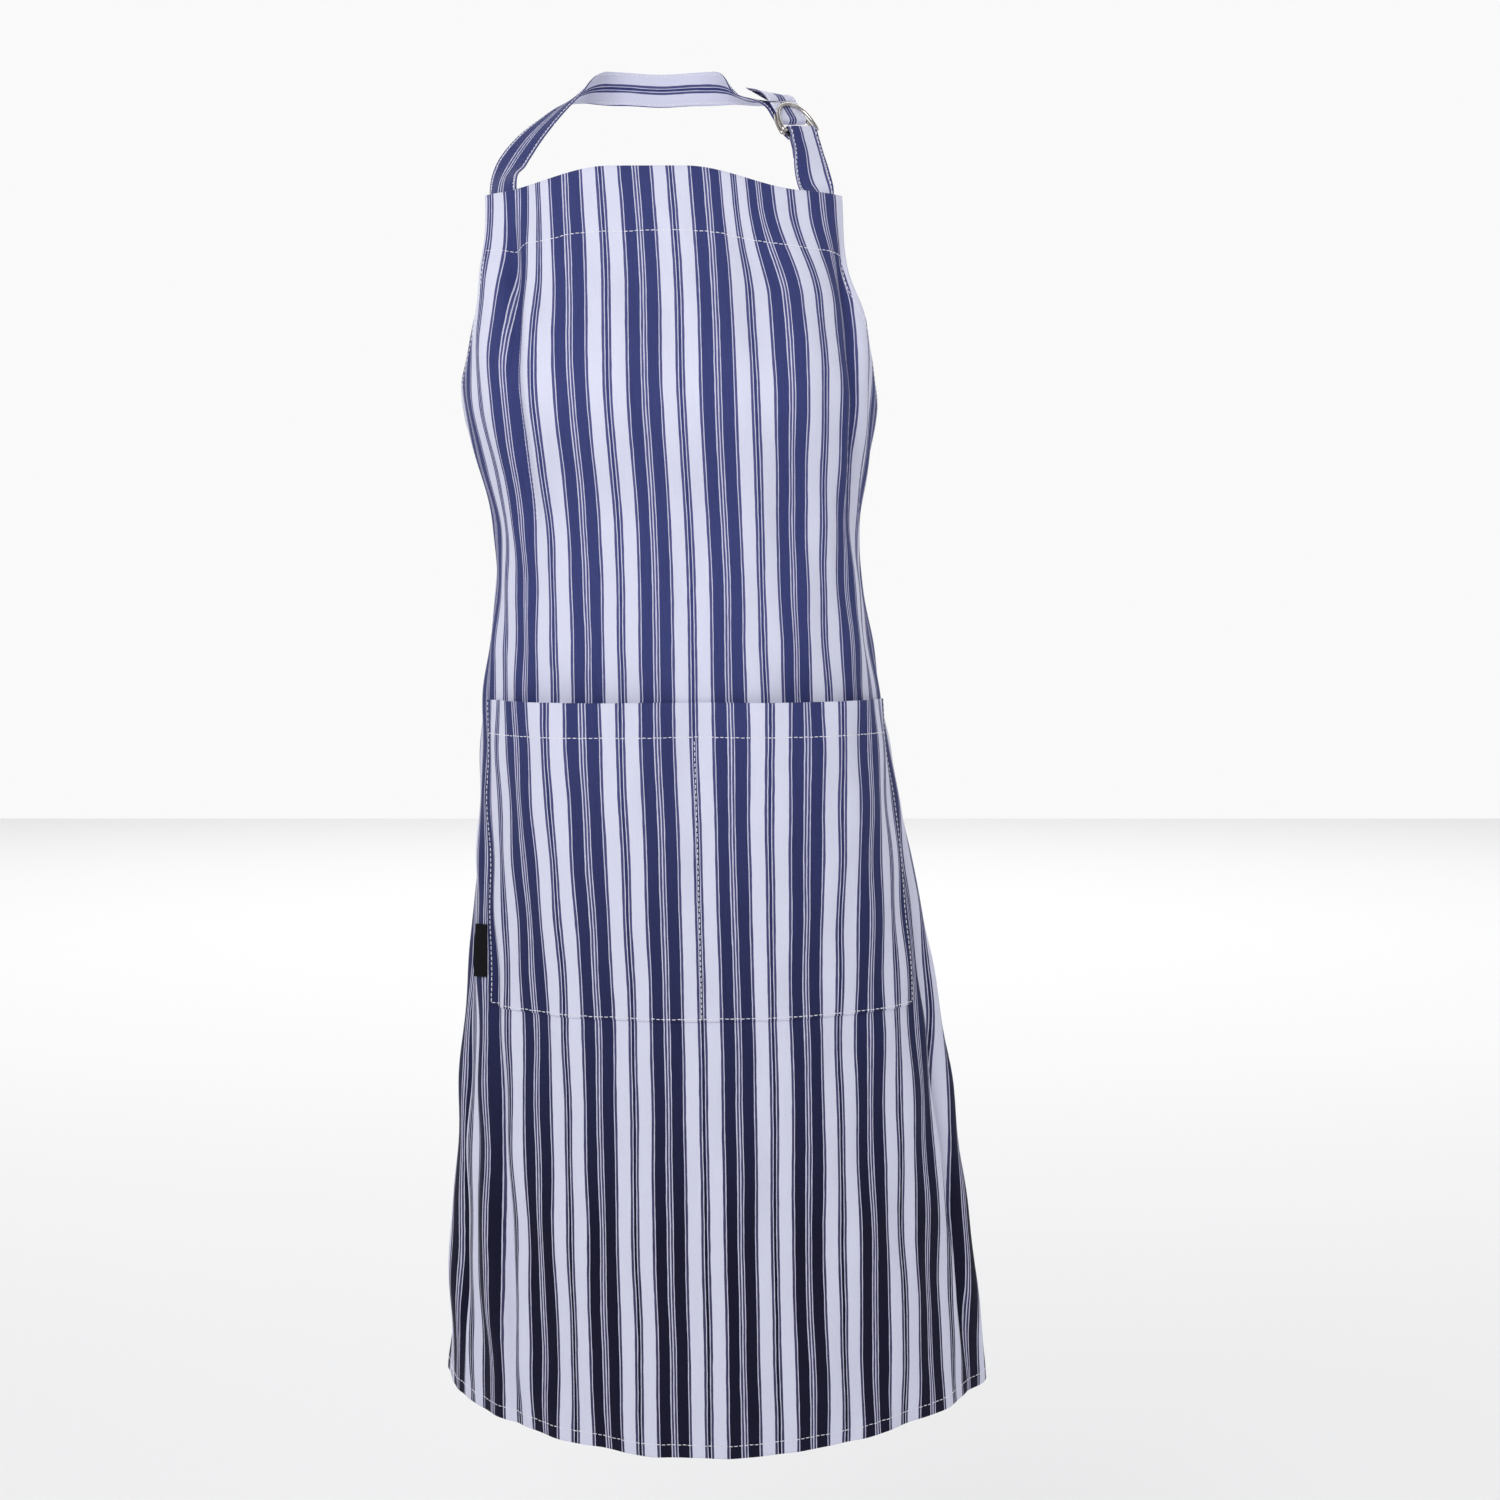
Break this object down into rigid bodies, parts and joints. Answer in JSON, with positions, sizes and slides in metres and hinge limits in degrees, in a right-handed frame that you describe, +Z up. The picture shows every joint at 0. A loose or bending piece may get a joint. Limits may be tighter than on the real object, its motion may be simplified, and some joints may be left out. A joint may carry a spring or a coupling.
{
  "type": "bib apron",
  "caption": "Striped bib apron in its worn shape: adjustable neck strap with paired D-rings, divided front pocket, ties knotted behind the waist.",
  "frame": {"origin": "the middle of the neck strap where it rests on the nape", "axes": "+Z up, -Y towards the front of the apron, +X towards the wearer's left, where the D-rings are"},
  "size_m": [0.4043, 0.251, 0.9824],
  "materials": {
    "striped_cotton": "matt navy and white striped woven cotton",
    "white_thread": "white sewing thread",
    "label_weave": "black satin-woven tape",
    "nickel_plate": "polished nickel plate"
  },
  "bodies": {
    "apron": {"apron_panel": "striped_cotton", "bib_facing": "striped_cotton", "left_armhole_hem": "striped_cotton", "right_armhole_hem": "striped_cotton", "left_side_hem": "striped_cotton", "right_side_hem": "striped_cotton", "bottom_hem": "striped_cotton", "pocket_panel": "striped_cotton", "pocket_top_hem": "striped_cotton", "neck_strap": "striped_cotton", "ring_strap": "striped_cotton", "left_waist_tie": "striped_cotton", "right_waist_tie": "striped_cotton", "waist_knot": "striped_cotton", "bib_facing_thread": "white_thread", "bottom_hem_thread": "white_thread", "left_edge_thread": "white_thread", "right_edge_thread": "white_thread", "pocket_hem_thread": "white_thread", "pocket_bottom_thread": "white_thread", "pocket_left_thread": "white_thread", "pocket_right_thread": "white_thread", "pocket_divider_thread": "white_thread"},
    "strap_end": {"strap_tail": "striped_cotton"},
    "front_ring": {"front_d_ring": "nickel_plate"},
    "back_ring": {"back_d_ring": "nickel_plate"},
    "label": {"side_label": "label_weave"},
    "left_bow": {"left_bow_loop": "striped_cotton"},
    "right_bow": {"right_bow_loop": "striped_cotton"},
    "left_end": {"left_tie_end": "striped_cotton"},
    "right_end": {"right_tie_end": "striped_cotton"}
  },
  "joints": [
    {"name": "strap_end_lift", "type": "hinge", "parent": "apron", "child": "strap_end", "pos_m": [0.08888, -0.07623, -0.02607], "axis": [0.8105, 0.5708, 0.1314], "range_deg": [0, 70]},
    {"name": "front_ring_tilt", "type": "hinge", "parent": "apron", "child": "front_ring", "pos_m": [0.10162, -0.08907, -0.04885], "axis": [0.8105, 0.5708, 0.1314], "range_deg": [0, 55]},
    {"name": "back_ring_tilt", "type": "hinge", "parent": "apron", "child": "back_ring", "pos_m": [0.10038, -0.08693, -0.05055], "axis": [0.8105, 0.5708, 0.1314], "range_deg": [-0.4, 0.4]},
    {"name": "label_flap", "type": "hinge", "parent": "apron", "child": "label", "pos_m": [-0.11786, -0.10628, -0.62317], "axis": [-0.0007, -0.0099, 1], "range_deg": [-8, 50]},
    {"name": "left_bow_swing", "type": "hinge", "parent": "apron", "child": "left_bow", "pos_m": [0.01548, 0.02796, -0.337], "axis": [0, 1, 0], "range_deg": [0, 30]},
    {"name": "right_bow_swing", "type": "hinge", "parent": "apron", "child": "right_bow", "pos_m": [0.01548, 0.02796, -0.337], "axis": [0, 1, 0], "range_deg": [-30, 0]},
    {"name": "left_end_swing", "type": "hinge", "parent": "apron", "child": "left_end", "pos_m": [0.01548, 0.02796, -0.3495], "axis": [1, 0, 0], "range_deg": [-12, 40]},
    {"name": "right_end_swing", "type": "hinge", "parent": "apron", "child": "right_end", "pos_m": [0.01548, 0.02796, -0.3495], "axis": [1, 0, 0], "range_deg": [-12, 40]}
  ]
}
